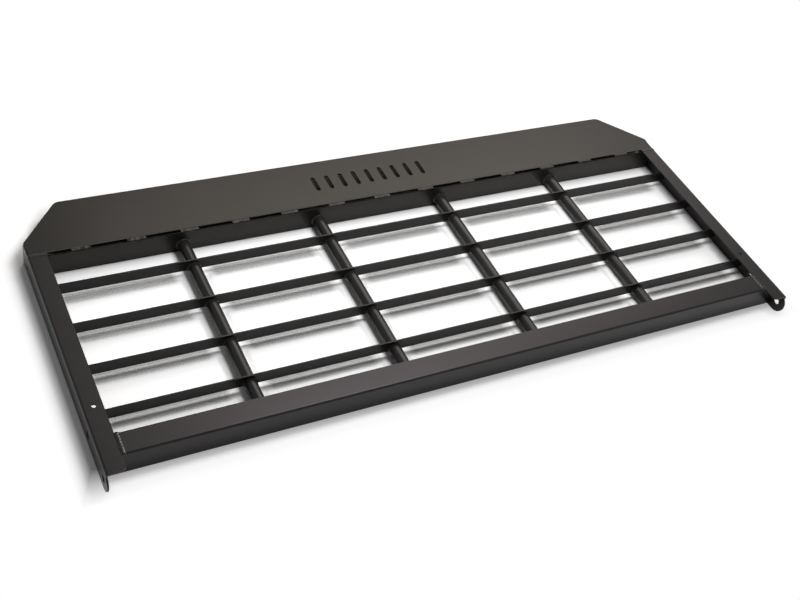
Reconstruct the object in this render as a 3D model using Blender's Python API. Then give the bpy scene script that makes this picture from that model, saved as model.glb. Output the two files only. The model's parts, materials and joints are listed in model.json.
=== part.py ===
"""Headache rack for a truck or utility bed: folded sheet frame, round uprights and notched flat bars, welded.

The rack lies on its back. X runs across the vehicle, Y up the rack and Z out of its front face.
The origin is the middle of the back plane. Lengths are in metres.
"""

import math

import bmesh
import bpy
from mathutils import Matrix, Vector

# Frame as a whole
WIDTH = 1.4732
DEPTH = 0.0508
SHEET = 0.003175
BEND = 0.004
SEAT = 0.0003

# Side rails
RAIL_FACE = 0.0352
LEG_CORNER = 0.010
EAR_RADIUS = 0.0226
EAR_SETBACK = 0.014
BOLT_HOLE = 0.0143
BOLT_SPACING = 0.0914
FACE_HOLE = 0.008
FACE_HOLE_RISE = 0.065

# Bottom rail
LOWER_REACH = 0.031
BOTTOM_FACE = 0.04445
BOTTOM_GAP = 0.0064

# Grille of tubes and bars
GRILLE_HEIGHT = 0.4302
TUBE_DIAMETER = 0.0254
TUBE_WALL = 0.0021
TUBE_SPACING = 0.2921
TUBE_COUNT = 4
TUBE_LIFT = 0.00404
BAR_HEIGHT = 0.0254
BAR_COUNT = 4
FIRST_BAR_GAP = 0.0596
LAST_BAR_GAP = 0.0641

# Top panel
PANEL_HEIGHT = 0.1408
CORNER_RUN = 0.0834
CORNER_RISE = 0.0987
CORNER_TOP_RADIUS = 0.018
CORNER_SIDE_RADIUS = 0.008
SEAM_SETBACK = 0.0043
SEAM_GAP = 0.0024
SLOT_COUNT = 12
SLOT_LENGTH = 0.070
END_SLOT_LENGTH = 0.0454
SLOT_REACH = 0.008
SLOT_FOLD_ANGLE = 33.0
VENT_COUNT = 9
VENT_WIDTH = 0.010
VENT_HEIGHT = 0.042
VENT_SPACING = 0.0315
VENT_DROP = 0.068

# Weld beads
FILLET_LEG = 0.0042
CROSSING_LEG = 0.0025
FILLET_FULLNESS = 0.8
RING_SWEEP = 280.0
SEAM_BEAD_WIDTH = 0.007
END_BEAD_WIDTH = 0.0094
BEAD_RISE = 0.0013
BEAD_PITCH = 0.005
BEAD_NECK = 0.86

# Facets
BEND_STEPS = 6
HOLE_STEPS = 28
TUBE_STEPS = 44
EAR_STEPS = 20
BLEND_STEPS = 6
NOTCH_STEPS = 20
FILLET_STEPS = 18
CROWN_STEPS = 5

# Places that follow from the sizes above
HALF = WIDTH / 2
INNER = HALF - RAIL_FACE
LEG_INSIDE = HALF - SHEET
EAR_OVERHANG = EAR_RADIUS - EAR_SETBACK
HEIGHT = EAR_OVERHANG + LOWER_REACH + BOTTOM_FACE + GRILLE_HEIGHT + PANEL_HEIGHT
EAR_END_Y = -HEIGHT / 2
LEG_END_Y = EAR_END_Y + EAR_OVERHANG
EAR_Y = LEG_END_Y + EAR_SETBACK
BOTTOM_Y = LEG_END_Y + LOWER_REACH
GRILLE_Y = BOTTOM_Y + BOTTOM_FACE
FLANGE_Y = GRILLE_Y + GRILLE_HEIGHT
SEAM_Y = FLANGE_Y + SEAM_SETBACK
TOP_Y = FLANGE_Y + PANEL_HEIGHT
CORNER_Y = TOP_Y - CORNER_RISE
TUBE_RADIUS = TUBE_DIAMETER / 2
TUBE_Z = TUBE_LIFT + TUBE_RADIUS
BAR_LOW = (DEPTH - BAR_HEIGHT) / 2
BAR_TOP = BAR_LOW + BAR_HEIGHT
BAR_PITCH = (GRILLE_HEIGHT - FIRST_BAR_GAP - LAST_BAR_GAP - SHEET) / (BAR_COUNT - 1)
BOTTOM_HALF = INNER - BOTTOM_GAP
FLANGE_TOP = DEPTH - BEND - SEAT
TUBE_XS = [(k - (TUBE_COUNT - 1) / 2) * TUBE_SPACING for k in range(TUBE_COUNT)]
BAR_YS = [GRILLE_Y + FIRST_BAR_GAP + k * BAR_PITCH for k in range(BAR_COUNT)]
SIDES = {"left": -1, "right": 1}

# Faces that meet at less than this angle are shaded as one round stretch
SMOOTH_ANGLE = math.radians(35)

# How far a cutter reaches past what it cuts
CLEAR = 2 * SHEET

# Axis along which an outline is pushed, and where its u, v and w then point
PUSHES = {
    "x": lambda u, v, w: Vector((w, u, v)),
    "y": lambda u, v, w: Vector((u, w, v)),
    "z": lambda u, v, w: Vector((u, v, w)),
}

# Satin black powder coat: colour, roughness and metallic value by kind of piece
COATS = {
    "panel": ((0.030, 0.029, 0.028, 1.0), 0.36, 0.0),
    "rail": ((0.028, 0.027, 0.026, 1.0), 0.36, 0.0),
    "tube": ((0.026, 0.025, 0.025, 1.0), 0.34, 0.0),
    "bar": ((0.027, 0.026, 0.026, 1.0), 0.38, 0.0),
    "weld": ((0.033, 0.032, 0.031, 1.0), 0.42, 0.0),
}


def arc(centre, radius, start, end, steps):
    """Points on a circle from one angle to another in degrees, both ends included."""
    angles = [math.radians(start + (end - start) * k / steps) for k in range(steps + 1)]
    return [(centre[0] + radius * math.cos(a), centre[1] + radius * math.sin(a)) for a in angles]


def box(low_u, high_u, low_v, high_v):
    """Corners of a rectangle."""
    return [(low_u, low_v), (high_u, low_v), (high_u, high_v), (low_u, high_v)]


def circle(centre, radius, steps=HOLE_STEPS):
    """Points round a whole circle."""
    return arc(centre, radius, 0, 360, steps)[:-1]


def upright_slot(u, low, high, width):
    """Outline of a slot with round ends whose length runs along v."""
    radius = width / 2
    top = arc((u, high - radius), radius, 0, 180, 2 * BLEND_STEPS)
    return top + arc((u, low + radius), radius, 180, 360, 2 * BLEND_STEPS)


def blend(before, corner, after, radius):
    """Points of a corner rounded to a radius between its two straight sides."""
    corner = Vector(corner)
    first = (Vector(before) - corner).normalized()
    second = (Vector(after) - corner).normalized()
    half = first.angle(second) / 2
    centre = corner + (first + second).normalized() * (radius / math.sin(half))
    start = corner + first * (radius / math.tan(half)) - centre
    end = corner + second * (radius / math.tan(half)) - centre
    spread = start.angle_signed(end)
    points = []
    for k in range(BLEND_STEPS + 1):
        turned = Matrix.Rotation(-spread * k / BLEND_STEPS, 2) @ start
        points.append(tuple(centre + turned))
    return points


def angle_outline(face):
    """Section of a folded angle: front leg along +u, other leg down from the rounded outer corner."""
    centre = (BEND, DEPTH - BEND)
    outside = arc(centre, BEND, 90, 180, BEND_STEPS)
    inside = arc(centre, BEND - SHEET, 180, 90, BEND_STEPS)
    return [(face, DEPTH)] + outside + [(0, 0), (SHEET, 0)] + inside + [(face, DEPTH - SHEET)]


def push(mesh, axis, outline, low, high):
    """Adds a closed solid to a mesh: an outline pushed along an axis from low to high."""
    place = PUSHES[axis]
    face = mesh.faces.new([mesh.verts.new(place(u, v, low)) for u, v in outline])
    grown = bmesh.ops.extrude_face_region(mesh, geom=[face])["geom"]
    moved = [item for item in grown if isinstance(item, bmesh.types.BMVert)]
    bmesh.ops.translate(mesh, verts=moved, vec=place(0, 0, high - low))


def sweep_round(mesh, outline, centre, start, sweep, steps):
    """Adds a closed solid: an outline of radius and depth turned about a line along Y.

    Depth runs towards -Y from the face at centre's Y, and angles start at +X and go up.
    """
    first = math.radians(start)
    outward = Vector((math.cos(first), 0, math.sin(first)))
    corners = [centre + outward * radius - Vector((0, depth, 0)) for radius, depth in outline]
    face = mesh.faces.new([mesh.verts.new(corner) for corner in corners])
    bmesh.ops.spin(mesh, geom=[face], cent=centre, axis=(0, -1, 0), angle=math.radians(sweep), steps=steps)


def coat(name, kind):
    """Material of one piece."""
    colour, roughness, metallic = COATS[kind]
    material = bpy.data.materials.new(name + "_coat")
    material.use_nodes = True
    shader = material.node_tree.nodes["Principled BSDF"]
    shader.inputs["Base Color"].default_value = colour
    shader.inputs["Roughness"].default_value = roughness
    shader.inputs["Metallic"].default_value = metallic
    return material


def finish(name, mesh):
    """Makes an object of a mesh, faces out, with round stretches shaded smooth."""
    bmesh.ops.recalc_face_normals(mesh, faces=mesh.faces)
    for face in mesh.faces:
        gentle = [edge for edge in face.edges if edge.calc_face_angle() < SMOOTH_ANGLE]
        face.smooth = len(gentle) > 1
    data = bpy.data.meshes.new(name)
    mesh.to_mesh(data)
    mesh.free()
    data.set_sharp_from_angle(angle=SMOOTH_ANGLE)
    made = bpy.data.objects.new(name, data)
    bpy.context.scene.collection.objects.link(made)
    return made


def piece(name, kind, mesh):
    """Makes one named sub-part of the rack."""
    made = finish(name, mesh)
    made.data.materials.append(coat(name, kind))
    made.parent = bpy.data.objects["headache_rack"]
    return made


def cut(body, label, solids):
    """Takes pushed outlines away from a piece. Each solid is (axis, outline, low, high)."""
    mesh = bmesh.new()
    for axis, outline, low, high in solids:
        push(mesh, axis, outline, low, high)
    cutter = finish(body.name + "_" + label, mesh)
    cutter.hide_render = True
    cutter.display_type = "WIRE"
    cutter.parent = body
    modifier = body.modifiers.new(label, "BOOLEAN")
    modifier.operation = "DIFFERENCE"
    modifier.solver = "EXACT"
    modifier.object = cutter


def mirrored(side, outline):
    """An outline whose u is X, on the right side as given and on the left side mirrored."""
    return [(side * u, v) for u, v in outline]


def side_rail(name, side):
    """Folded angle with a rounded ear below and a tab that runs on beside the panel."""
    section = [(HALF - u, v) for u, v in angle_outline(RAIL_FACE)]
    mesh = bmesh.new()
    push(mesh, "y", mirrored(side, section), EAR_END_Y, CORNER_Y)
    rail = piece(name, "rail", mesh)
    across = sorted((side * (INNER - CLEAR), side * (HALF + CLEAR)))

    ear = (EAR_Y, EAR_RADIUS)
    start = 180 - math.degrees(math.acos(EAR_SETBACK / EAR_RADIUS))
    rounding = [(LEG_END_Y, DEPTH + CLEAR)] + arc(ear, EAR_RADIUS, start, 270, EAR_STEPS)
    rounding += [(EAR_Y, -CLEAR), (EAR_END_Y - CLEAR, -CLEAR), (EAR_END_Y - CLEAR, DEPTH + CLEAR)]
    cut(rail, "ear", [("x", rounding, *across)])

    corner = (INNER, LEG_END_Y)
    along = (HALF, LEG_END_Y)
    up = (INNER, SEAM_Y)
    rounded = blend(along, corner, up, LEG_CORNER) + [
        (INNER - CLEAR, LEG_END_Y + LEG_CORNER),
        (INNER - CLEAR, LEG_END_Y - CLEAR),
        (INNER + LEG_CORNER, LEG_END_Y - CLEAR),
    ]
    leg = (DEPTH - BEND - CLEAR, DEPTH + CLEAR)
    cut(rail, "leg_corner", [("z", mirrored(side, rounded), *leg)])

    low = SEAM_Y - SEAM_GAP / 2
    past = (CORNER_Y - low + CLEAR) / (CORNER_Y - low)
    fold_end = (HALF - BEND + BEND * past, CORNER_Y + CLEAR)
    trimmed = [(INNER - CLEAR, low), (HALF - BEND, low), fold_end, (INNER - CLEAR, CORNER_Y + CLEAR)]
    cut(rail, "panel_seat", [("z", mirrored(side, trimmed), DEPTH - SHEET - SEAT, DEPTH + CLEAR)])

    bolts = [circle((y, EAR_RADIUS), BOLT_HOLE / 2) for y in (EAR_Y, EAR_Y + BOLT_SPACING)]
    wall = sorted((side * (LEG_INSIDE - CLEAR), side * (HALF + CLEAR)))
    cut(rail, "bolt_holes", [("x", bolt, *wall) for bolt in bolts])

    flat_middle = (INNER + HALF - BEND) / 2
    spot = circle((flat_middle, GRILLE_Y + FACE_HOLE_RISE), FACE_HOLE / 2)
    cut(rail, "face_hole", [("z", mirrored(side, spot), *leg)])


def bottom_rail():
    """Folded angle across the foot of the grille, its front leg cut back from the side rails."""
    section = [(BOTTOM_Y + u, v) for u, v in angle_outline(BOTTOM_FACE)]
    mesh = bmesh.new()
    reach = LEG_INSIDE - SEAT
    push(mesh, "x", section, -reach, reach)
    rail = piece("bottom_rail", "rail", mesh)
    outline = box(BOTTOM_Y - CLEAR, GRILLE_Y + CLEAR, FLANGE_TOP, DEPTH + CLEAR)
    ends = [("x", outline, *sorted((side * BOTTOM_HALF, side * HALF))) for side in SIDES.values()]
    cut(rail, "end_relief", ends)


def slot_outline():
    """Section of a slot beside the fold, one wall square to the bent sheet and one to the flat sheet."""
    centre = Vector((FLANGE_Y + BEND, DEPTH - BEND))
    lean = math.radians(SLOT_FOLD_ANGLE)
    past = centre + Vector((-math.sin(lean), math.cos(lean))) * (BEND + CLEAR)
    far = FLANGE_Y + SLOT_REACH
    return [tuple(centre), (far, DEPTH - BEND), (far, DEPTH + CLEAR), tuple(past)]


def slot_spans():
    """Spans of X of the slots along the panel's fold, the short end ones running out past the fold."""
    clear_width = 2 * (INNER - SEAT)
    web = (clear_width - SLOT_COUNT * SLOT_LENGTH - 2 * END_SLOT_LENGTH) / (SLOT_COUNT + 1)
    pitch = SLOT_LENGTH + web
    spans = []
    for k in range(SLOT_COUNT):
        middle = (k - (SLOT_COUNT - 1) / 2) * pitch
        spans.append((middle - SLOT_LENGTH / 2, middle + SLOT_LENGTH / 2))
    for side in SIDES.values():
        inside = clear_width / 2 - END_SLOT_LENGTH
        spans.append(tuple(sorted((side * inside, side * (INNER + CLEAR)))))
    return spans


def top_panel():
    """Folded sheet with cut upper corners, slots along the fold and a row of vents."""
    section = [(FLANGE_Y + u, v) for u, v in angle_outline(PANEL_HEIGHT)]
    mesh = bmesh.new()
    push(mesh, "x", section, -HALF, HALF)
    panel = piece("top_panel", "panel", mesh)
    through = (DEPTH - BEND - CLEAR, DEPTH + CLEAR)
    seam = SEAM_Y + SEAM_GAP / 2

    edges = []
    notches = []
    ends = []
    for side in SIDES.values():
        start = (HALF - BEND - 2 * SEAT, SEAM_Y)
        foot = (HALF - 2 * SEAT, CORNER_Y)
        head = (HALF - CORNER_RUN, TOP_Y)
        edge = [start] + blend(start, foot, head, CORNER_SIDE_RADIUS)
        edge += blend(foot, head, (0, TOP_Y), CORNER_TOP_RADIUS)
        edge += [(edge[-1][0], TOP_Y + CLEAR), (HALF + CLEAR, TOP_Y + CLEAR), (HALF + CLEAR, SEAM_Y)]
        edges.append(("z", mirrored(side, edge), *through))
        notch = box(INNER - SEAT, HALF + CLEAR, FLANGE_Y - CLEAR, seam)
        notches.append(("z", mirrored(side, notch), FLANGE_TOP, DEPTH + CLEAR))
        end = box(LEG_INSIDE - SEAT, HALF + CLEAR, FLANGE_Y - CLEAR, seam)
        ends.append(("z", mirrored(side, end), -CLEAR, DEPTH - BEND))
    cut(panel, "side_edges", edges)
    cut(panel, "rail_notches", notches)
    cut(panel, "flange_ends", ends)

    slots = [("x", slot_outline(), *span) for span in slot_spans()]
    cut(panel, "fold_slots", slots)

    vents = []
    middle = TOP_Y - VENT_DROP
    for k in range(VENT_COUNT):
        u = (k - (VENT_COUNT - 1) / 2) * VENT_SPACING
        outline = upright_slot(u, middle - VENT_HEIGHT / 2, middle + VENT_HEIGHT / 2, VENT_WIDTH)
        vents.append(("z", outline, *through))
    cut(panel, "vents", vents)


def tube(name, x):
    """Round upright from the bottom rail's other leg to the panel's flange, open at both ends."""
    low = BOTTOM_Y + SHEET + SEAT
    high = FLANGE_Y - SEAT
    mesh = bmesh.new()
    push(mesh, "y", circle((x, TUBE_Z), TUBE_RADIUS, TUBE_STEPS), low, high)
    made = piece(name, "tube", mesh)
    bore = circle((x, TUBE_Z), TUBE_RADIUS - TUBE_WALL, TUBE_STEPS)
    cut(made, "bore", [("y", bore, low - CLEAR, high + CLEAR)])


def cross_bar(name, y):
    """Flat bar on edge, notched from behind over each tube."""
    reach = LEG_INSIDE - SEAT
    radius = TUBE_RADIUS + SEAT
    outline = [(reach, BAR_LOW), (reach, BAR_TOP), (-reach, BAR_TOP), (-reach, BAR_LOW)]
    for x in TUBE_XS:
        crown = arc((x, TUBE_Z), radius, 180, 0, NOTCH_STEPS)
        outline += [(x - radius, BAR_LOW)] + crown + [(x + radius, BAR_LOW)]
    mesh = bmesh.new()
    push(mesh, "y", outline, y, y + SHEET)
    piece(name, "bar", mesh)


def fillet_outline(inside, leg):
    """Section of a fillet bead as (distance out, depth), with a slightly full face."""
    root = (inside, SEAT)
    face = arc(root, leg * FILLET_FULLNESS, 0, 90, CROWN_STEPS)[1:-1]
    return [root, (inside + leg, SEAT)] + face + [(inside, SEAT + leg)]


def tube_fillet(name, x, y, leg, start, sweep):
    """Fillet bead round a tube where it meets the face of a bar or of the panel's flange."""
    mesh = bmesh.new()
    outline = fillet_outline(TUBE_RADIUS + SEAT, leg)
    sweep_round(mesh, outline, Vector((x, y, TUBE_Z)), start, sweep, FILLET_STEPS)
    piece(name, "weld", mesh)


def bar_end_fillet(name, side, y):
    """Upright fillet bead between a bar's face and the side rail's outer leg."""
    section = fillet_outline(SEAT, FILLET_LEG)
    outline = [(side * (LEG_INSIDE - out), y - depth) for out, depth in section]
    mesh = bmesh.new()
    push(mesh, "z", outline, BAR_LOW, BAR_TOP)
    piece(name, "weld", mesh)


def butt_bead(name, axis, middle, low, high, gap, width):
    """Bead laid in a gap between two front legs, its crown swelling and narrowing along its length."""
    stem = gap / 2 - SEAT
    dome = arc((0, 0), 1, 0, 180, CROWN_STEPS)
    crown = [(width / 2 * u, SEAT + BEAD_RISE * v) for u, v in dome]
    outline = [(-stem, -SHEET), (stem, -SHEET), (stem, SEAT)] + crown + [(-stem, SEAT)]
    place = PUSHES[axis]
    mesh = bmesh.new()
    base = place(middle, DEPTH, low)
    face = mesh.faces.new([mesh.verts.new(base + place(u * BEAD_NECK, v, 0)) for u, v in outline])
    lobes = max(1, round((high - low) / BEAD_PITCH))
    step = place(0, 0, (high - low) / (2 * lobes))
    for k in range(2 * lobes):
        grown = bmesh.ops.extrude_face_region(mesh, geom=[face])["geom"]
        if k:
            bmesh.ops.delete(mesh, geom=[face], context="FACES_ONLY")
        face = next(item for item in grown if isinstance(item, bmesh.types.BMFace))
        bmesh.ops.translate(mesh, verts=face.verts, vec=step)
        swell = 1 / BEAD_NECK if k % 2 == 0 else BEAD_NECK
        centre = place(middle, DEPTH + SEAT, 0)
        factors = place(swell, 1, 1)
        bmesh.ops.scale(mesh, verts=face.verts, vec=factors, space=Matrix.Translation(-centre))
    piece(name, "weld", mesh)


def welds():
    """All weld beads of the rack."""
    for label, side in SIDES.items():
        flat = sorted((side * (INNER + SEAT), side * (HALF - BEND)))
        butt_bead(label + "_panel_seam_weld", "x", SEAM_Y, *flat, SEAM_GAP, SEAM_BEAD_WIDTH)
        middle = side * (INNER - BOTTOM_GAP / 2)
        butt_bead(
            label + "_bottom_rail_weld", "y", middle, BOTTOM_Y + BEND, GRILLE_Y, BOTTOM_GAP, END_BEAD_WIDTH
        )
        for row, y in enumerate(BAR_YS, 1):
            bar_end_fillet(f"bar_{row}_{label}_end_weld", side, y)
    drop = math.asin((TUBE_Z - BAR_LOW) / (TUBE_RADIUS + SEAT + CROSSING_LEG))
    over = 180 + 2 * math.degrees(drop)
    for column, x in enumerate(TUBE_XS, 1):
        tube_fillet(f"tube_{column}_panel_weld", x, FLANGE_Y, FILLET_LEG, 90 - RING_SWEEP / 2, RING_SWEEP)
        for row, y in enumerate(BAR_YS, 1):
            tube_fillet(f"bar_{row}_tube_{column}_weld", x, y, CROSSING_LEG, 90 - over / 2, over)


def main():
    """Builds the rack from an empty scene."""
    for old in list(bpy.data.objects):
        bpy.data.objects.remove(old)
    bpy.context.scene.collection.objects.link(bpy.data.objects.new("headache_rack", None))
    top_panel()
    for label, side in SIDES.items():
        side_rail(label + "_side_rail", side)
    bottom_rail()
    for column, x in enumerate(TUBE_XS, 1):
        tube(f"tube_{column}", x)
    for row, y in enumerate(BAR_YS, 1):
        cross_bar(f"bar_{row}", y)
    welds()


main()
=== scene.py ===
"""Looks of the headache rack: coated sheet metal, rippled weld beads, studio floor, lamps and camera.

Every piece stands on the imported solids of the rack, in metres. X runs across the rack, Y up its
face and Z out of it, and the rack lies on its back on the floor at Z = 0.
"""

import json
import logging
import math
import random
from dataclasses import dataclass, field
from enum import Enum
from typing import Iterable

import bmesh
import bpy
from bpy.types import ID, Material, Node, NodeSocket, NodeTree, Object
from mathutils import Matrix, Vector

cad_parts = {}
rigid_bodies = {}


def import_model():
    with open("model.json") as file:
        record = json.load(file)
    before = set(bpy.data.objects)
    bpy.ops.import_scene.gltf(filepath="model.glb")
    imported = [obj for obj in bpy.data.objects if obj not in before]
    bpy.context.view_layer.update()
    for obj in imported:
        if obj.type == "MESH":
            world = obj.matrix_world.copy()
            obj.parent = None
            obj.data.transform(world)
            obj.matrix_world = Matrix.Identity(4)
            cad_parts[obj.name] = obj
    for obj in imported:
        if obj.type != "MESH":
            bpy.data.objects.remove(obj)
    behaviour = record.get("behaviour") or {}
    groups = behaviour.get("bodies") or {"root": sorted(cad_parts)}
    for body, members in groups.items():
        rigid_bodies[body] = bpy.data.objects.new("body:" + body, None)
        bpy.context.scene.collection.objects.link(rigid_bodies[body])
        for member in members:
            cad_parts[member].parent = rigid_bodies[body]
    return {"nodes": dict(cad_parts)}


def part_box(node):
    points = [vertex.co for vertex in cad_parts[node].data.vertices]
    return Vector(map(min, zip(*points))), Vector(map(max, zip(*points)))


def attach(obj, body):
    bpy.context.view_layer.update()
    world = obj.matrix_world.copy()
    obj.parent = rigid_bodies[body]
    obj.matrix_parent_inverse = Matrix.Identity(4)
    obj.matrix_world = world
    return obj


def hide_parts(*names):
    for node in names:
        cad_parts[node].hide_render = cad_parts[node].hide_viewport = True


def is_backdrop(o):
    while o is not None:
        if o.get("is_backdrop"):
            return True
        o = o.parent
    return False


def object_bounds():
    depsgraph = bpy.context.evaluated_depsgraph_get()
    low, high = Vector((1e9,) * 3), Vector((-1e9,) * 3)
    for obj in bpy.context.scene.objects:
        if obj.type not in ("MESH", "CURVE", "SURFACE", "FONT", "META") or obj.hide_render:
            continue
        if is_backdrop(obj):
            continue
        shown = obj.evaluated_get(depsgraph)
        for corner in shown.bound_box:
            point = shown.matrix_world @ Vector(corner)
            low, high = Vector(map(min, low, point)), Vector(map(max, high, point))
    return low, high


log = logging.getLogger("headache_rack")

BODY = "root"
EDGE = "edge"
FLAT_FACE_WEIGHT = 50


class Slot(Enum):
    """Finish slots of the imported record."""

    PANEL = "panel_coat"
    RAIL = "rail_coat"
    TUBE = "tube_coat"
    BAR = "bar_coat"
    WELD = "weld_coat"


class Side(Enum):
    """The two ends of the rack, and the way along X to each."""

    LEFT = -1
    RIGHT = 1

    @property
    def label(self) -> str:
        """Word for this side in the names of pieces."""
        return self.name.lower()


class Wiring:
    """Adds nodes to one shader tree and links them.

    Attributes:
        mix_colours: Places of the Mix node's two colour inputs, which share their names with other inputs.
        mix_result: Place of its colour output.
    """

    mix_colours = (6, 7)
    mix_result = 2

    def __init__(self, tree: NodeTree) -> None:
        """Starts on a tree.

        Args:
            tree: Material, world or group tree to fill.
        """
        self.tree = tree

    def add(self, kind: str, **settings: object) -> Node:
        """Adds a node.

        Args:
            kind: Blender's type name of the node, without its ShaderNode prefix.
            settings: Properties of the node by name.

        Returns:
            The new node.
        """
        node = self.tree.nodes.new("ShaderNode" + kind)
        for name, value in settings.items():
            setattr(node, name, value)
        return node

    def feed(self, target: NodeSocket, source: object) -> None:
        """Links a socket to an input, or sets the input's own value.

        Args:
            target: Input socket.
            source: Output socket, or a plain value.
        """
        if isinstance(source, NodeSocket):
            self.tree.links.new(source, target)
        else:
            target.default_value = source

    def math(self, operation: str, first: object, second: object = 0.0) -> NodeSocket:
        """Adds a Math node.

        Args:
            operation: Blender's name of the operation.
            first: First operand, socket or number.
            second: Second operand, socket or number.

        Returns:
            The result.
        """
        node = self.add("Math", operation=operation)
        self.feed(node.inputs[0], first)
        self.feed(node.inputs[1], second)
        return node.outputs[0]

    def spread(self, value: object, low: float, high: float, start: float, end: float) -> NodeSocket:
        """Maps one range of a value onto another, held at its ends.

        Args:
            value: Value to map.
            low: Value that gives start.
            high: Value that gives end.
            start: Result at low.
            end: Result at high.

        Returns:
            The mapped value.
        """
        node = self.add("MapRange")
        for socket, number in zip(node.inputs, (value, low, high, start, end)):
            self.feed(socket, number)
        return node.outputs[0]

    def mix(self, factor: object, first: object, second: object) -> NodeSocket:
        """Blends two colours.

        Args:
            factor: Share of the second colour.
            first: Colour at factor 0.
            second: Colour at factor 1.

        Returns:
            The blended colour.
        """
        node = self.add("Mix", data_type="RGBA")
        self.feed(node.inputs["Factor"], factor)
        for index, colour in zip(self.mix_colours, (first, second)):
            self.feed(node.inputs[index], colour)
        return node.outputs[self.mix_result]

    def noise(self, vector: object, scale: object, detail: float, roughness: float = 0.5) -> NodeSocket:
        """Adds a noise texture.

        Args:
            vector: Place on the piece.
            scale: Cells per metre.
            detail: Octaves.
            roughness: Share of the finer octaves.

        Returns:
            The noise value.
        """
        node = self.add("TexNoise")
        self.feed(node.inputs["Vector"], vector)
        self.feed(node.inputs["Scale"], scale)
        self.feed(node.inputs["Detail"], detail)
        self.feed(node.inputs["Roughness"], roughness)
        return node.outputs[0]

    def group(self, tree: NodeTree, values: dict[str, object]) -> Node:
        """Adds a shader group and feeds its inputs.

        Args:
            tree: Tree of the group.
            values: Output socket or plain value for each input, by the input's name.

        Returns:
            The group's node.
        """
        node = self.add("Group", node_tree=tree)
        for label, value in values.items():
            self.feed(node.inputs[label], value)
        return node

    def bump(self, height: NodeSocket, distance: float, under: NodeSocket | None = None) -> NodeSocket:
        """Turns a height into a normal.

        Args:
            height: Height, from 0 to about 1.
            distance: What a height of 1 stands for, in metres.
            under: Normal that the bumps stand on, or None for the mesh's own.

        Returns:
            The bumpy normal.
        """
        node = self.add("Bump")
        node.inputs["Strength"].default_value = 1.0
        node.inputs["Distance"].default_value = distance
        self.feed(node.inputs["Height"], height)
        if under is not None:
            self.feed(node.inputs["Normal"], under)
        return node.outputs["Normal"]


def group_tree(name: str, inputs: Iterable[tuple[str, str]], outputs: Iterable[str]) -> NodeTree:
    """Makes an empty shader group with named sockets.

    Args:
        name: Name of the group.
        inputs: Name and kind of each input, the kind being Float or Vector.
        outputs: Names of the outputs, all plain values.

    Returns:
        The group's tree, with its input and output nodes placed.
    """
    tree = bpy.data.node_groups.new(name, "ShaderNodeTree")
    for label, kind in inputs:
        tree.interface.new_socket(label, in_out="INPUT", socket_type="NodeSocket" + kind)
    for label in outputs:
        tree.interface.new_socket(label, in_out="OUTPUT", socket_type="NodeSocketFloat")
    tree.nodes.new("NodeGroupInput")
    tree.nodes.new("NodeGroupOutput")
    return tree


class CoatEffects:
    """Shader groups that the coats share: orange peel, rubbed edges and the pucker of a slotted fold.

    Attributes:
        grit_share: Height of the grit as a share of the peel's waves.
        cloud_span: Noise values that give the deepest and the palest tone.
        patch_span: Noise values that give the least and the most wear.
        patch_least: Least wear of a rubbed edge.
        pucker_core: Share of the pucker's reach where its lumps have their full height.
    """

    grit_share = 0.25
    cloud_span = (0.3, 0.7)
    patch_span = (0.35, 0.65)
    patch_least = 0.3
    pucker_core = 0.5

    def __init__(self) -> None:
        """Builds each group once."""
        self.peel = self._peel()
        self.rub = self._rub()
        self.pucker = self._pucker()

    def _peel(self) -> NodeTree:
        """Rolling skin of baked powder with a fine grit on it, and slow clouds of tone.

        Returns:
            The group.
        """
        sockets = [("Vector", "Vector"), ("Wave", "Float"), ("Grit", "Float"), ("Cloud", "Float")]
        tree = group_tree("powder_peel", sockets, ["Height", "Tone"])
        wiring = Wiring(tree)
        given = tree.nodes["Group Input"].outputs
        result = tree.nodes["Group Output"].inputs
        waves = wiring.noise(given["Vector"], given["Wave"], 1.0)
        grit = wiring.noise(given["Vector"], given["Grit"], 2.0)
        fine = wiring.math("MULTIPLY", grit, self.grit_share)
        wiring.feed(result["Height"], wiring.math("ADD", waves, fine))
        clouds = wiring.noise(given["Vector"], given["Cloud"], 3.0)
        wiring.feed(result["Tone"], wiring.spread(clouds, *self.cloud_span, 0.0, 1.0))
        return tree

    def _rub(self) -> NodeTree:
        """Broken line of thin coat along rounded edges.

        Returns:
            The group.
        """
        sockets = [("Vector", "Vector"), ("Edge", "Float"), ("Patch", "Float"), ("Amount", "Float")]
        tree = group_tree("rubbed_edge", sockets, ["Mask"])
        wiring = Wiring(tree)
        given = tree.nodes["Group Input"].outputs
        result = tree.nodes["Group Output"].inputs
        clouds = wiring.noise(given["Vector"], given["Patch"], 3.0)
        patches = wiring.spread(clouds, *self.patch_span, self.patch_least, 1.0)
        worn = wiring.math("MULTIPLY", given["Edge"], patches)
        wiring.feed(result["Mask"], wiring.math("MULTIPLY", worn, given["Amount"]))
        return tree

    def _pucker(self) -> NodeTree:
        """Small lumps along a bend that runs along X, where webs between slots were folded.

        Returns:
            The group.
        """
        sockets = [("Vector", "Vector"), ("Bend", "Vector"), ("Reach", "Float"), ("Lumps", "Float")]
        tree = group_tree("fold_pucker", sockets, ["Height"])
        wiring = Wiring(tree)
        given = tree.nodes["Group Input"].outputs
        result = tree.nodes["Group Output"].inputs
        section = wiring.add("VectorMath", operation="MULTIPLY")
        wiring.feed(section.inputs[0], given["Vector"])
        wiring.feed(section.inputs[1], (0.0, 1.0, 1.0))
        off = wiring.add("VectorMath", operation="DISTANCE")
        wiring.feed(off.inputs[0], section.outputs["Vector"])
        wiring.feed(off.inputs[1], given["Bend"])
        band = wiring.math("DIVIDE", off.outputs["Value"], given["Reach"])
        lumps = wiring.noise(given["Vector"], given["Lumps"], 1.0)
        near = wiring.spread(band, self.pucker_core, 1.0, 1.0, 0.0)
        wiring.feed(result["Height"], wiring.math("MULTIPLY", near, lumps))
        return tree


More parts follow.
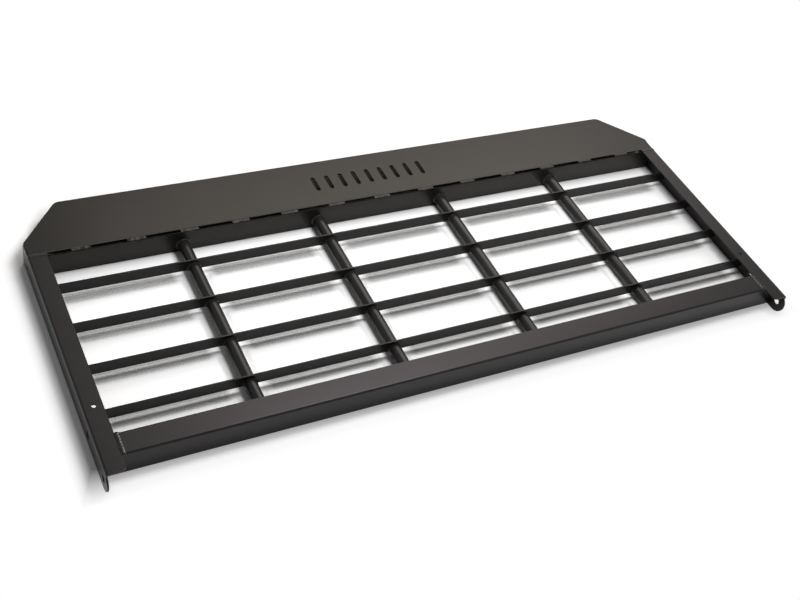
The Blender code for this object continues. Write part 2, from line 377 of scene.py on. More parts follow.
@dataclass(frozen=True)
class FoldPucker:
    """Uneven skin along the panel's slotted fold.

    Attributes:
        inset: How far the middle of the fold lies from the panel's lower edge.
        reach: Distance from that line at which the lumps have died away.
        lumps: Lumps in a metre.
        height: Height of the lumps.
    """

    inset: float = 0.0045
    reach: float = 0.0060
    lumps: float = 115.0
    height: float = 0.0026

    def normal(self, wiring: Wiring, effects: CoatEffects, place: NodeSocket) -> NodeSocket:
        """Adds the lumps to a coat.

        Args:
            wiring: Tree of the coat.
            effects: Shared shader groups.
            place: Place on the piece.

        Returns:
            The lumpy normal.
        """
        low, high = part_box("top_panel")
        bend = (0.0, low.y + self.inset, high.z)
        values = {"Vector": place, "Bend": bend, "Reach": self.reach, "Lumps": self.lumps}
        lumpy = wiring.group(effects.pucker, values)
        return wiring.bump(lumpy.outputs["Height"], self.height)


@dataclass(frozen=True)
class PowderCoat:
    """Satin black powder coat of one kind of piece.

    Attributes:
        slot: Finish slot that the coat is for.
        deep: Colour in the darkest clouds.
        pale: Colour in the palest clouds.
        thin: Colour where an edge is rubbed thin.
        sheen: Specular level.
        cast: Tint of the sheen.
        smooth: Roughness in the darkest clouds.
        dull: Roughness in the palest clouds.
        wave: Waves of the peel in a metre.
        grit: Grains in a metre.
        cloud: Clouds of tone in a metre.
        patch: Worn patches in a metre along an edge.
        rub: How far edges are rubbed, from 0 to 1.
        relief: Height of the peel.
        pucker: Lumps along a fold, if the piece has one.
    """

    slot: Slot
    deep: tuple[float, float, float] = (0.0170, 0.0161, 0.0153)
    pale: tuple[float, float, float] = (0.0198, 0.0188, 0.0178)
    thin: tuple[float, float, float] = (0.034, 0.033, 0.031)
    sheen: float = 0.22
    cast: tuple[float, float, float] = (1.0, 1.0, 1.0)
    smooth: float = 0.30
    dull: float = 0.36
    wave: float = 420.0
    grit: float = 2600.0
    cloud: float = 9.0
    patch: float = 60.0
    rub: float = 0.6
    relief: float = 0.000012
    pucker: FoldPucker | None = None

    def material(self, effects: CoatEffects) -> Material:
        """Builds the coat's material.

        Args:
            effects: Shared shader groups.

        Returns:
            The material.
        """
        made = bpy.data.materials.new(self.slot.value)
        made.use_nodes = True
        wiring = Wiring(made.node_tree)
        shader = made.node_tree.nodes["Principled BSDF"]
        place = wiring.add("TexCoord").outputs["Object"]

        values = {"Vector": place, "Wave": self.wave, "Grit": self.grit, "Cloud": self.cloud}
        peel = wiring.group(effects.peel, values)
        edge = wiring.add("Attribute", attribute_name=EDGE).outputs["Fac"]
        values = {"Vector": place, "Edge": edge, "Patch": self.patch, "Amount": self.rub}
        rub = wiring.group(effects.rub, values)

        shader.inputs["Specular IOR Level"].default_value = self.sheen
        shader.inputs["Specular Tint"].default_value = (*self.cast, 1.0)
        body = wiring.mix(peel.outputs["Tone"], (*self.deep, 1.0), (*self.pale, 1.0))
        wiring.feed(shader.inputs["Base Color"], wiring.mix(rub.outputs["Mask"], body, (*self.thin, 1.0)))
        gloss = wiring.spread(peel.outputs["Tone"], 0.0, 1.0, self.smooth, self.dull)
        wiring.feed(shader.inputs["Roughness"], gloss)
        under = self.pucker.normal(wiring, effects, place) if self.pucker else None
        wiring.feed(shader.inputs["Normal"], wiring.bump(peel.outputs["Height"], self.relief, under))
        return made


COATS = (
    PowderCoat(Slot.PANEL, cast=(1.0, 0.92, 0.84), pucker=FoldPucker()),
    PowderCoat(Slot.RAIL, cast=(1.0, 0.90, 0.96)),
    PowderCoat(Slot.TUBE, smooth=0.22, dull=0.27),
    PowderCoat(Slot.BAR, sheen=0.15, smooth=0.22, dull=0.27),
    PowderCoat(Slot.WELD, sheen=0.36, smooth=0.22, dull=0.28, relief=0.00003),
)


def link(name: str, data: ID) -> Object:
    """Puts a new object in the scene.

    Args:
        name: Name of the object.
        data: Its mesh, lamp or camera.

    Returns:
        The object.
    """
    made = bpy.data.objects.new(name, data)
    bpy.context.scene.collection.objects.link(made)
    return made


def skin(name: str, mesh: bmesh.types.BMesh, material: Material) -> Object:
    """Makes a smooth object of a mesh.

    Args:
        name: Name of the object.
        mesh: Finished mesh, in place. It is freed.
        material: Material of the object.

    Returns:
        The object.
    """
    for face in mesh.faces:
        face.smooth = True
    data = bpy.data.meshes.new(name)
    mesh.to_mesh(data)
    mesh.free()
    data.materials.append(material)
    return link(name, data)


def settle(name: str, mesh: bmesh.types.BMesh, coat: Material, nodes: Iterable[str]) -> None:
    """Makes a finished piece of a mesh, rides it on the rack and lets it stand for its solids.

    Args:
        name: Name of the piece.
        mesh: Finished mesh, in place. It is freed.
        coat: Material of the piece.
        nodes: Solids that the piece stands for.
    """
    piece = skin(name, mesh, coat)
    shade = piece.modifiers.new("flat_faces_lead", "WEIGHTED_NORMAL")
    shade.mode = "FACE_AREA"
    shade.weight = FLAT_FACE_WEIGHT
    shade.keep_sharp = True
    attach(piece, BODY)
    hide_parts(*nodes)
    log.info("%s: %d faces, for %s", name, len(piece.data.polygons), ", ".join(nodes))


@dataclass
class RoundedSheet:
    """Sheet and bar stock whose cut edges are rounded as the coat flows over them.

    Attributes:
        radius: Radius of the rounded edges.
        segments: Steps of each rounding.
        merge: Distance within which corners of a solid are one.
        shortest: Shortest edge that is kept.
        flat: Largest angle between faces that are taken as one.
        sharp: Smallest angle of an edge that is rounded.
    """

    radius: float = 0.0005
    segments: int = 2
    merge: float = 0.000001
    shortest: float = 0.0004
    flat: float = math.radians(0.5)
    sharp: float = math.radians(40)

    def mesh_of(self, node: Object) -> bmesh.types.BMesh:
        """Copies a solid and rounds its edges.

        Args:
            node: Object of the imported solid.

        Returns:
            The rounded mesh, with its edge strips marked.
        """
        mesh = bmesh.new()
        mesh.from_mesh(node.data)
        bmesh.ops.remove_doubles(mesh, verts=mesh.verts, dist=self.merge)
        bmesh.ops.dissolve_limit(mesh, angle_limit=self.flat, verts=mesh.verts, edges=mesh.edges)
        bmesh.ops.remove_doubles(mesh, verts=mesh.verts, dist=self.shortest)
        self.round_edges(mesh, self.radius)
        return mesh

    def round_edges(self, mesh: bmesh.types.BMesh, radius: float) -> None:
        """Rounds the sharp edges of a mesh and marks the strips that this makes.

        Args:
            mesh: Mesh to round.
            radius: Radius of the rounding.
        """
        corners = [edge for edge in mesh.edges if edge.calc_face_angle(0.0) > self.sharp]
        marks = mesh.faces.layers.float.new(EDGE)
        strips = bmesh.ops.bevel(
            mesh,
            geom=corners,
            offset=radius,
            offset_type="OFFSET",
            segments=self.segments,
            profile=0.5,
            affect="EDGES",
            clamp_overlap=True,
            material=-1,
        )
        for face in strips["faces"]:
            face[marks] = 1.0


@dataclass
class SheetFrame:
    """Folded top panel, side rails and bottom rail."""

    stock: RoundedSheet = field(default_factory=RoundedSheet)

    def build(self, nodes: dict[str, Object], panel: Material, rail: Material) -> None:
        """Builds and dresses the frame.

        Args:
            nodes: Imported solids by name.
            panel: Coat of the top panel.
            rail: Coat of the rails.
        """
        settle("panel_sheet", self.stock.mesh_of(nodes["top_panel"]), panel, ["top_panel"])
        for side in Side:
            name = side.label + "_side_rail"
            settle(side.label + "_rail_sheet", self.stock.mesh_of(nodes[name]), rail, [name])
        name = "bottom_rail"
        settle("bottom_rail_sheet", self.stock.mesh_of(nodes[name]), rail, [name])


@dataclass
class Grille:
    """Round uprights and the flat bars notched over them.

    Attributes:
        stock: How the bars' edges and the tubes' rims are rounded.
        wall: Thickness of the tubes' wall.
        facets: Flats round a tube.
        rim: Radius of the tubes' rims.
    """

    stock: RoundedSheet = field(default_factory=RoundedSheet)
    wall: float = 0.0021
    facets: int = 96
    rim: float = 0.0004

    def tube_mesh(self, name: str) -> bmesh.types.BMesh:
        """Draws a tube along Y inside the box of its solid.

        Args:
            name: Name of the tube's solid.

        Returns:
            The tube, its rims rounded.
        """
        low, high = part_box(name)
        middle = (low + high) / 2
        turn = Matrix.Rotation(math.radians(90), 4, "X")
        mesh = bmesh.new()
        ring = bmesh.ops.create_circle(
            mesh,
            cap_ends=False,
            radius=(high.x - low.x) / 2,
            segments=self.facets,
            matrix=Matrix.Translation((middle.x, low.y, middle.z)) @ turn,
        )
        edges = list({edge for vert in ring["verts"] for edge in vert.link_edges})
        grown = bmesh.ops.extrude_edge_only(mesh, edges=edges)["geom"]
        moved = [item for item in grown if isinstance(item, bmesh.types.BMVert)]
        bmesh.ops.translate(mesh, verts=moved, vec=(0.0, high.y - low.y, 0.0))
        bmesh.ops.recalc_face_normals(mesh, faces=mesh.faces)
        bmesh.ops.solidify(mesh, geom=mesh.faces[:], thickness=self.wall)
        self.stock.round_edges(mesh, self.rim)
        return mesh

    def build(self, nodes: dict[str, Object], tube: Material, bar: Material) -> None:
        """Builds and dresses the grille.

        Args:
            nodes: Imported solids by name.
            tube: Coat of the tubes.
            bar: Coat of the bars.
        """
        for name in sorted(nodes):
            if name.startswith("tube_") and not name.endswith("weld"):
                settle(name + "_round", self.tube_mesh(name), tube, [name])
            if name.startswith("bar_") and not name.endswith("weld"):
                settle(name + "_flat", self.stock.mesh_of(nodes[name]), bar, [name])


@dataclass(frozen=True)
class Hand:
    """How a bead is laid.

    Attributes:
        pitch: Length of a ripple.
        ripple: Depth of the ripples, as a share of the bead's size.
        drift: How far the size of one ripple strays from the next, as a share.
        taper: Size of the bead's two ends, as a share.
        fullness: Height of a crowned bead, as a share of its solid's.
    """

    pitch: float
    ripple: float
    drift: float
    taper: float
    fullness: float = 1.0


@dataclass
class Beads:
    """Weld beads, laid as overlapping ripples that swell and shrink a little along their run.

    Attributes:
        leg: Legs of the fillets at the panel and at the bars' ends.
        crossing_leg: Legs of the fillets where bars cross tubes.
        fillet_hand: How the fillets are laid.
        seam_hand: How the seams between panel and side rails are laid.
        end_hand: How the beads at the bottom rail's ends are laid.
        pinch: How far a ripple narrows a crowned bead, as a share of how far it lowers it.
        strokes: Sections in a ripple.
        overrun: How far a crowned bead runs on past its solid.
        bend: Radius of the bend that a crowned bead starts on.
        bend_steps: Sections on that bend.
        bend_sweep: Angle that the bead covers on that bend.
        seat: Gap between a bead and its tube.
        crown: Steps across a quarter of a section.
        slack: How far a fillet's face falls short of a quarter round, as a share of the leg.
        root: Half the width of a crowned bead's root, as a share of the bead's width.
        seed: Start of the random draws.
    """

    leg: float = 0.0032
    crossing_leg: float = 0.0018
    fillet_hand: Hand = Hand(pitch=0.0055, ripple=0.16, drift=0.16, taper=0.5)
    seam_hand: Hand = Hand(pitch=0.0040, ripple=0.10, drift=0.08, taper=0.95, fullness=0.7)
    end_hand: Hand = Hand(pitch=0.0056, ripple=0.34, drift=0.24, taper=0.95, fullness=1.5)
    pinch: float = 0.25
    strokes: int = 4
    overrun: float = 0.0012
    bend: float = 0.004
    bend_steps: int = 4
    bend_sweep: float = math.radians(70)
    seat: float = 0.0003
    crown: int = 5
    slack: float = 0.2
    root: float = 0.25
    seed: int = 7

    def swells(self, name: str, length: float, hand: Hand) -> list[float]:
        """Sizes of a bead's section along its run.

        Args:
            name: Name of the bead, which sets the hand's drift.
            length: Length of the run.
            hand: How the bead is laid.

        Returns:
            One factor for each stroke, smaller at both ends.
        """
        draw = random.Random(f"{name}{self.seed}")
        ripples = max(2, round(length / hand.pitch))
        factors = []
        drift = [1.0 + draw.uniform(-hand.drift, hand.drift) for _ in range(ripples + 1)]
        for stroke in range(ripples * self.strokes + 1):
            whole, part = divmod(stroke, self.strokes)
            lobe = abs(math.sin(math.pi * part / self.strokes))
            factors.append(drift[whole] * (1.0 - hand.ripple + hand.ripple * lobe))
        factors[0] *= hand.taper
        factors[-1] *= hand.taper
        return factors

    def fillet(self, leg: float) -> list[Vector]:
        """Section of a fillet bead: out along X, down along Y, with a slightly full face.

        Args:
            leg: Length of the bead's legs.

        Returns:
            The corners in order.
        """
        corners = [Vector((0.0, 0.0, 0.0))]
        for step in range(self.crown + 1):
            angle = math.radians(90) * step / self.crown
            reach = leg * (1.0 - self.slack * math.sin(2 * angle))
            corners.append(Vector((reach * math.cos(angle), reach * math.sin(angle), 0.0)))
        return corners

    def crowned(self, width: float, rise: float, depth: float) -> list[Vector]:
        """Section of a bead that fills a gap: across along X, up along Y.

        Args:
            width: Width of the bead.
            rise: Height of its crown.
            depth: Depth of its root.

        Returns:
            The corners in order.
        """
        corners = [Vector((side.value * self.root * width, -depth, 0.0)) for side in Side]
        for step in range(2 * self.crown + 1):
            angle = math.pi * step / (2 * self.crown)
            corners.append(Vector((width / 2 * math.cos(angle), rise * math.sin(angle), 0.0)))
        return corners

    def lay(self, section: list[Vector], places: list[Matrix]) -> bmesh.types.BMesh:
        """Sweeps a section through a run of places.

        Args:
            section: Corners of the section, in its own plane.
            places: Where the section stands at each stroke, its size included.

        Returns:
            The closed bead.
        """
        mesh = bmesh.new()
        face = mesh.faces.new([mesh.verts.new(places[0] @ corner) for corner in section])
        for index in range(1, len(places)):
            grown = bmesh.ops.extrude_face_region(mesh, geom=[face])["geom"]
            if index > 1:
                bmesh.ops.delete(mesh, geom=[face], context="FACES_ONLY")
            face = next(item for item in grown if isinstance(item, bmesh.types.BMFace))
            step = places[index] @ places[index - 1].inverted()
            bmesh.ops.transform(mesh, matrix=step, verts=face.verts)
        bmesh.ops.recalc_face_normals(mesh, faces=mesh.faces)
        return mesh

    def ring(self, node: str, tube: str, leg: float, start: float, sweep: float) -> bmesh.types.BMesh:
        """Fillet bead round a tube, against a face that looks down the tube.

        Args:
            node: Name of the bead's solid.
            tube: Name of the tube's solid.
            leg: Length of the bead's legs.
            start: Angle of the first stroke in radians, from +X up.
            sweep: Angle that the bead covers in radians.

        Returns:
            The bead.
        """
        low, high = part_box(tube)
        radius = (high.x - low.x) / 2 + self.seat
        centre = Vector(((low.x + high.x) / 2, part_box(node)[1].y, (low.z + high.z) / 2))
        factors = self.swells(node, radius * sweep, self.fillet_hand)
        flip = Matrix.Diagonal((1.0, -1.0, -1.0, 1.0))
        places = []
        for index, factor in enumerate(factors):
            angle = start + sweep * index / (len(factors) - 1)
            out = Vector((math.cos(angle), 0.0, math.sin(angle)))
            across = Matrix.Rotation(-angle, 4, "Y")
            size = Matrix.Diagonal((factor, factor, 1.0, 1.0))
            places.append(Matrix.Translation(centre + out * radius) @ across @ flip @ size)
        return self.lay(self.fillet(leg), places)

    def upright(self, node: str, side: Side) -> bmesh.types.BMesh:
        """Fillet bead up a bar's end, against the side rail.

        Args:
            node: Name of the bead's solid.
            side: End of the rack that the bead is at.

        Returns:
            The bead.
        """
        low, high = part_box(node)
        corner_x = high.x if side is Side.RIGHT else low.x
        factors = self.swells(node, high.z - low.z, self.fillet_hand)
        places = []
        for index, factor in enumerate(factors):
            height = low.z + (high.z - low.z) * index / (len(factors) - 1)
            size = Matrix.Diagonal((-side.value * factor, -factor, 1.0, 1.0))
            places.append(Matrix.Translation((corner_x, high.y, height)) @ size)
        return self.lay(self.fillet(self.leg), places)

    def butt(self, node: str, along: Vector, front: float, hand: Hand) -> bmesh.types.BMesh:
        """Crowned bead in the gap between two front faces, carried a little way round the bend at its start.

        Args:
            node: Name of the bead's solid.
            along: Direction of the run away from the bend, along X or Y.
            front: Z of the front faces.
            hand: How the bead is laid.

        Returns:
            The bead.
        """
        low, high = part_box(node)
        up = Vector((0.0, 0.0, 1.0))
        across = up.cross(along)
        width = abs((high - low).dot(across))
        length = abs((high - low).dot(along))
        first = (low + high) / 2 - along * (length / 2)
        first.z = front
        length += self.overrun
        factors = self.swells(node, length, hand)
        turns = [self.bend_sweep * step / self.bend_steps for step in range(self.bend_steps, 0, -1)]
        runs = [(turn, 0.0, hand.taper) for turn in turns]
        runs += [(0.0, length * index / (len(factors) - 1), factor) for index, factor in enumerate(factors)]
        places = []
        for turn, run, factor in runs:
            back = run - self.bend * math.sin(turn)
            drop = self.bend * (1.0 - math.cos(turn))
            out = up * math.cos(turn) - along * math.sin(turn)
            stand = Matrix((across, out, across.cross(out))).transposed().to_4x4()
            size = Matrix.Diagonal((1.0 - self.pinch * (1.0 - factor), factor, 1.0, 1.0))
            places.append(Matrix.Translation(first + along * back - up * drop) @ stand @ size)
        return self.lay(self.crowned(width, (high.z - front) * hand.fullness, front - low.z), places)

    def tube_bead(self, node: str) -> bmesh.types.BMesh:
        """Bead of a tube at a bar or at the panel's flange.

        Args:
            node: Name of the bead's solid.

        Returns:
            The bead.
        """
        words = node.split("_")
        tube = "tube_" + words[words.index("tube") + 1]
        tube_low, tube_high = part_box(tube)
        leg = self.crossing_leg if node.startswith("bar_") else self.leg
        reach = (tube_high.x - tube_low.x) / 2 + self.seat + leg
        drop = (tube_low.z + tube_high.z) / 2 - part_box(node)[0].z
        start = -math.asin(min(1.0, drop / reach))
        return self.ring(node, tube, leg, start, math.pi - 2 * start)

    def build(self, nodes: dict[str, Object], weld: Material) -> None:
        """Builds and dresses every bead.

        Args:
            nodes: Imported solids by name.
            weld: Coat over the beads.
        """
        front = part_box("bottom_rail")[1].z
        for side in Side:
            seam = side.label + "_panel_seam_weld"
            bead = self.butt(seam, Vector((-side.value, 0, 0)), front, self.seam_hand)
            settle(seam + "_bead", bead, weld, [seam])
            end = side.label + "_bottom_rail_weld"
            bead = self.butt(end, Vector((0, 1, 0)), front, self.end_hand)
            settle(end + "_bead", bead, weld, [end])
        for node in sorted(nodes):
            if node.endswith("_end_weld"):
                side = Side.LEFT if "_left_" in node else Side.RIGHT
                settle(node + "_bead", self.upright(node, side), weld, [node])
            elif node.endswith("_weld") and "tube_" in node:
                settle(node + "_bead", self.tube_bead(node), weld, [node])


@dataclass(frozen=True)
class Lamp:
    """A soft rectangular lamp.

    Attributes:
        name: Name of the lamp.
        place: Where it hangs.
        aim: Point that it faces.
        width: Size along its own X.
        height: Size along its own Y.
        power: Power in watts.
        tint: Colour of its light.
    """

    name: str
    place: tuple[float, float, float]
    aim: tuple[float, float, float]
    width: float
    height: float
    power: float
    tint: tuple[float, float, float] = (1.0, 1.0, 1.0)

    def hang(self) -> None:
        """Hangs the lamp and points it."""
        data = bpy.data.lights.new(self.name, "AREA")
        data.shape = "RECTANGLE"
        data.size = self.width
        data.size_y = self.height
        data.energy = self.power
        data.color = self.tint
        way = Vector(self.aim) - Vector(self.place)
        turn = way.to_track_quat("-Z", "Y").to_matrix().to_4x4()
        link(self.name, data).matrix_world = Matrix.Translation(self.place) @ turn


@dataclass
class Studio:
    """White floor with painted shade near the rack, soft lamps and dim surroundings.

    Attributes:
        reach: Radius of the flat floor.
        cove: Radius of the curve up to the wall.
        cove_steps: Steps of that curve.
        wall: Height of the wall.
        rounds: Flats round the floor.
        floor_tone: Tone of the floor as a source of bounced light.
        shown_span: X at the two ends of the floor's lift.
        shown_tones: Tone of the floor to the eye at those ends.
        shade: Share of the tone that is left in the painted shade beneath the panel.
        shade_reach: Distance within which the panel counts towards that painted shade.
        shade_span: Open share of the sky at full shade and at none.
        shade_low: What the painted shade's area adds to the panel's lower corner.
        shade_high: What it adds to the upper corner.
        shade_edge: Soft edge of that area.
        contact_reach: Distance within which the bars count towards their painted shade on the floor.
        contact_tone: Share of the tone that is left in the painted shade under the bars.
        contact_span: Open share of the sky at full shade and at none.
        contact_edge: Soft edge of the bars' area, and its gap to the panel.
        contact_clear: Distances from a tube's middle where that shade starts and is full.
        fade: Distances past the rack's surroundings where the floor starts to fade and is plain white.
        fade_low: What the surroundings add to the rack's lower corner.
        fade_high: What they add to the upper corner.
        fade_steep: How much faster the floor fades along X than along Y.
        room_level: Light of the room on rack and floor.
        room_shown: Tone of the room to the eye and in reflections.
        lamps: The lamps.
    """

    reach: float = 12.0
    cove: float = 1.5
    cove_steps: int = 8
    wall: float = 3.0
    rounds: int = 96
    floor_tone: float = 0.80
    shown_span: tuple[float, float] = (-0.75, 0.10)
    shown_tones: tuple[float, float] = (1.42, 0.92)
    shade: float = 0.05
    shade_reach: float = 0.12
    shade_span: tuple[float, float] = (0.72, 0.98)
    shade_low: tuple[float, float] = (0.02, -0.02)
    shade_high: tuple[float, float] = (0.10, 0.10)
    shade_edge: float = 0.04
    contact_reach: float = 0.024
    contact_tone: float = 0.18
    contact_span: tuple[float, float] = (0.87, 0.985)
    contact_edge: float = 0.03
    contact_clear: tuple[float, float] = (0.020, 0.045)
    fade: tuple[float, float] = (-0.02, 0.05)
    fade_low: tuple[float, float] = (-0.019, 0.04)
    fade_high: tuple[float, float] = (0.03, 0.06)
    fade_steep: float = 2.0
    room_level: float = 0.14
    room_shown: float = 0.42
    lamps: tuple[Lamp, ...] = (
        Lamp("overhead_softbox", (0.22, 0.15, 1.3), (0.22, 0.15, 0.0), 0.8, 0.35, 17.5),
        Lamp("ceiling_softbox", (1.2, 1.65, 1.9), (1.2, 1.65, 0.0), 2.7, 1.3, 40.5, (1.0, 0.94, 0.88)),
    )

    def direct(self, wiring: Wiring) -> NodeSocket:
        """Marks the rays that show a surface, straight or through a reflection.

        Args:
            wiring: Tree to add the nodes to.

        Returns:
            1 for such rays, 0 for the rest.
        """
        rays = wiring.add("LightPath").outputs
        shown = wiring.math("MAXIMUM", rays["Is Camera Ray"], rays["Is Glossy Ray"])
        return wiring.math("MAXIMUM", shown, rays["Is Transmission Ray"])

    def outside(
        self, wiring: Wiring, place: Node, low: Vector, high: Vector, steep: float = 1.0
    ) -> NodeSocket:
        """Distance along X or Y, whichever is longer, from the nearest side of a box.

        Args:
            wiring: Tree to add the nodes to.
            place: Node that gives the place on the floor.
            low: Lower corner of the box.
            high: Upper corner of the box.
            steep: Weight of the distance along X.

        Returns:
            The distance, negative inside the box.
        """
        gaps = []
        for axis, near, far, weight in (("X", low.x, high.x, steep), ("Y", low.y, high.y, 1.0)):
            off = wiring.math("ABSOLUTE", wiring.math("SUBTRACT", place.outputs[axis], (near + far) / 2))
            gaps.append(wiring.math("MULTIPLY", wiring.math("SUBTRACT", off, (far - near) / 2), weight))
        return wiring.math("MAXIMUM", *gaps)

    def painted_panel_shade(self, wiring: Wiring, place: Node) -> NodeSocket:
        """Painted shade of the floor beneath the panel: the panel's ambient occlusion darkens the floor's
        colour.

        Args:
            wiring: Tree to add the nodes to.
            place: Node that gives the place on the floor.

        Returns:
            Share of the floor's tone that is left.
        """
        near = wiring.add("AmbientOcclusion")
        near.inputs["Distance"].default_value = self.shade_reach
        lost = wiring.spread(near.outputs["AO"], *self.shade_span, 1.0 - self.shade, 0.0)
        low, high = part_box("top_panel")
        low = low + Vector((*self.shade_low, 0.0))
        high = high + Vector((*self.shade_high, 0.0))
        inside = wiring.spread(self.outside(wiring, place, low, high), -self.shade_edge, 0.0, 1.0, 0.0)
        return wiring.math("SUBTRACT", 1.0, wiring.math("MULTIPLY", lost, inside))

    def painted_bar_shade(self, wiring: Wiring, place: Node) -> NodeSocket:
        """Painted shade of the floor under the bars, between the tubes: ambient occlusion from the bars
        darkens the floor's colour.

        Args:
            wiring: Tree to add the nodes to.
            place: Node that gives the place on the floor.

        Returns:
            Share of the floor's tone that is left.
        """
        near = wiring.add("AmbientOcclusion")
        near.inputs["Distance"].default_value = self.contact_reach
        lost = wiring.spread(near.outputs["AO"], *self.contact_span, 1.0 - self.contact_tone, 0.0)
        low = Vector((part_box("left_side_rail")[0].x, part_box("bottom_rail")[0].y, 0.0))
        high = Vector((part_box("right_side_rail")[1].x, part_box("top_panel")[0].y - self.contact_edge, 0.0))
        inside = wiring.spread(self.outside(wiring, place, low, high), -self.contact_edge, 0.0, 1.0, 0.0)
        first, second = (sum(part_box(tube), Vector()).x / 2 for tube in ("tube_1", "tube_2"))
        off = wiring.math("SUBTRACT", place.outputs["X"], first)
        off = wiring.math("PINGPONG", off, (second - first) / 2)
        between = wiring.spread(off, *self.contact_clear, 0.0, 1.0)
        lost = wiring.math("MULTIPLY", lost, wiring.math("MULTIPLY", inside, between))
        return wiring.math("SUBTRACT", 1.0, lost)

    def shown(self, wiring: Wiring, place: Node) -> NodeSocket:
        """Tone of the floor to the eye, lifted towards its dim end, with painted shade beneath the panel and
        under the bars.

        Args:
            wiring: Tree to add the nodes to.
            place: Node that gives the place on the floor.

        Returns:
            The tone.
        """
        lift = wiring.spread(place.outputs["X"], *self.shown_span, *self.shown_tones)
        painted_shade = wiring.math("MULTIPLY", self.painted_panel_shade(wiring, place), self.painted_bar_shade(wiring, place))
        return wiring.math("MULTIPLY", lift, painted_shade)

    def paper(self, low: Vector, high: Vector) -> Material:
        """White paper, brighter to the eye and in reflections than as a source of bounced light, with painted
        shade near the rack.

        Args:
            low: Lower corner of the rack.
            high: Upper corner of the rack.

        Returns:
            The material, plain white away from the rack.
        """
        made = bpy.data.materials.new("floor_paper")
        made.use_nodes = True
        wiring = Wiring(made.node_tree)
        shader = made.node_tree.nodes["Principled BSDF"]
        place = wiring.add("SeparateXYZ")
        wiring.feed(place.inputs[0], wiring.add("TexCoord").outputs["Object"])
        direct = self.direct(wiring)
        bounced = (self.floor_tone, self.floor_tone, self.floor_tone, 1.0)
        # the colour to the eye and in reflections carries the painted shade beneath the panel and under the
        # bars
        wiring.feed(shader.inputs["Base Color"], wiring.mix(direct, bounced, self.shown(wiring, place)))
        shader.inputs["Roughness"].default_value = 1.0
        shader.inputs["Specular IOR Level"].default_value = 0.0
        white = wiring.add("Emission")
        blend = wiring.add("MixShader")
        low = low + Vector((*self.fade_low, 0.0))
        high = high + Vector((*self.fade_high, 0.0))
        beyond = self.outside(wiring, place, low, high, self.fade_steep)
        away = wiring.spread(beyond, *self.fade, 0.0, 1.0)
        wiring.feed(blend.inputs[0], wiring.math("MULTIPLY", direct, away))
        wiring.feed(blend.inputs[1], shader.outputs[0])
        wiring.feed(blend.inputs[2], white.outputs[0])
        wiring.feed(made.node_tree.nodes["Material Output"].inputs["Surface"], blend.outputs[0])
        return made

    def floor(self, low: Vector, high: Vector) -> None:
        """Lays the floor, which curves up into a low white wall all round.

        Args:
            low: Lower corner of the rack.
            high: Upper corner of the rack.
        """
        profile = []
        for step in range(self.cove_steps + 1):
            turn = math.radians(90) * step / self.cove_steps
            profile.append((self.reach + self.cove * math.sin(turn), self.cove * (1 - math.cos(turn))))
        profile.append((self.reach + self.cove, self.wall))
        mesh = bmesh.new()
        bmesh.ops.create_circle(mesh, cap_ends=True, radius=self.reach, segments=self.rounds)
        rim = [edge for edge in mesh.edges if edge.is_boundary]
        for (inner, _), (outer, height) in zip(profile, profile[1:]):
            grown = bmesh.ops.extrude_edge_only(mesh, edges=rim)["geom"]
            moved = [item for item in grown if isinstance(item, bmesh.types.BMVert)]
            rim = [item for item in grown if isinstance(item, bmesh.types.BMEdge)]
            for vert in moved:
                vert.co = Vector((vert.co.x * outer / inner, vert.co.y * outer / inner, height))
        floor = skin("floor", mesh, self.paper(low, high))
        floor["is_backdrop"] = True

    def room(self) -> None:
        """Makes dim surroundings, paler to the eye and in reflections."""
        world = bpy.data.worlds.new("studio_room")
        world.use_nodes = True
        wiring = Wiring(world.node_tree)
        back = world.node_tree.nodes["Background"]
        back.inputs["Color"].default_value = (1.0, 1.0, 1.0, 1.0)
        level = wiring.spread(self.direct(wiring), 0.0, 1.0, self.room_level, self.room_shown)
        wiring.feed(back.inputs["Strength"], level)
        bpy.context.scene.world = world

    def build(self, low: Vector, high: Vector) -> None:
        """Sets up floor, room and lamps.

        Args:
            low: Lower corner of the rack.
            high: Upper corner of the rack.
        """
        self.floor(low, high)
        self.room()
        for lamp in self.lamps:
            lamp.hang()
        bpy.context.scene.view_settings.view_transform = "Standard"


@dataclass(frozen=True)
class PhotoCamera:
    """Camera at the photograph's angle, for a frame of 800 by 600.

    Attributes:
        place: Where the camera stands.
        heading: Turn of its view from +Y towards +X.
        elevation: Angle of its view below the horizon.
        roll: Turn about its view.
        focal_pixels: Focal length in pixels of the frame.
        frame_width: Width of the frame in pixels.
        pixel_centre: Offset of a pixel's centre from its corner, in pixels.
        sensor: Width of the sensor in millimetres.
    """

    place: tuple[float, float, float] = (-1.03956, -1.33924, 1.57606)
    heading: float = math.radians(37.19399)
    elevation: float = math.radians(44.42615)
    roll: float = math.radians(15.54399)
    focal_pixels: float = 1122.71
    frame_width: int = 800
    pixel_centre: float = 0.5
    sensor: float = 36.0

    def build(self) -> None:
        """Makes the camera and hands it to the scene."""
        data = bpy.data.cameras.new("photo_camera")
        data.sensor_width = self.sensor
        data.lens = self.focal_pixels / self.frame_width * self.sensor
        data.shift_x = -self.pixel_centre / self.frame_width
        data.shift_y = self.pixel_centre / self.frame_width
        camera = link("photo_camera", data)
        turn = Matrix.Rotation(-self.heading, 4, "Z")
        turn = turn @ Matrix.Rotation(math.pi / 2 - self.elevation, 4, "X")
        turn = turn @ Matrix.Rotation(self.roll, 4, "Z")
        camera.matrix_world = Matrix.Translation(self.place) @ turn
        bpy.context.scene.camera = camera


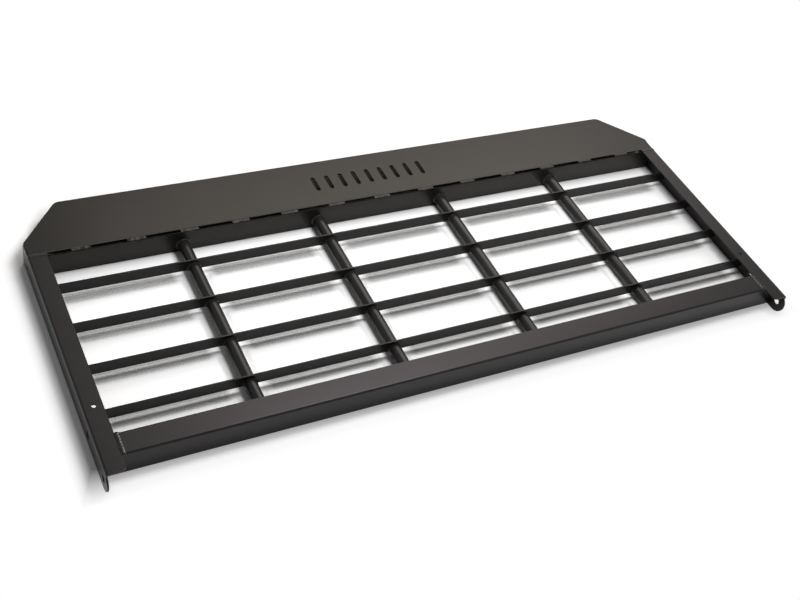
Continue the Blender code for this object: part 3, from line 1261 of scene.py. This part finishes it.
def main() -> None:
    """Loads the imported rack, dresses it and sets up the studio."""
    logging.basicConfig(level=logging.INFO, format="%(name)s: %(message)s")
    for old in list(bpy.data.objects):
        bpy.data.objects.remove(old)
    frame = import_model()
    solid_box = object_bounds()
    PhotoCamera().build()
    effects = CoatEffects()
    coats = {coat.slot: coat.material(effects) for coat in COATS}
    SheetFrame().build(frame["nodes"], coats[Slot.PANEL], coats[Slot.RAIL])
    Grille().build(frame["nodes"], coats[Slot.TUBE], coats[Slot.BAR])
    Beads().build(frame["nodes"], coats[Slot.WELD])
    Studio().build(*solid_box)
    bpy.context.view_layer.update()


if __name__ == "__main__":
    main()
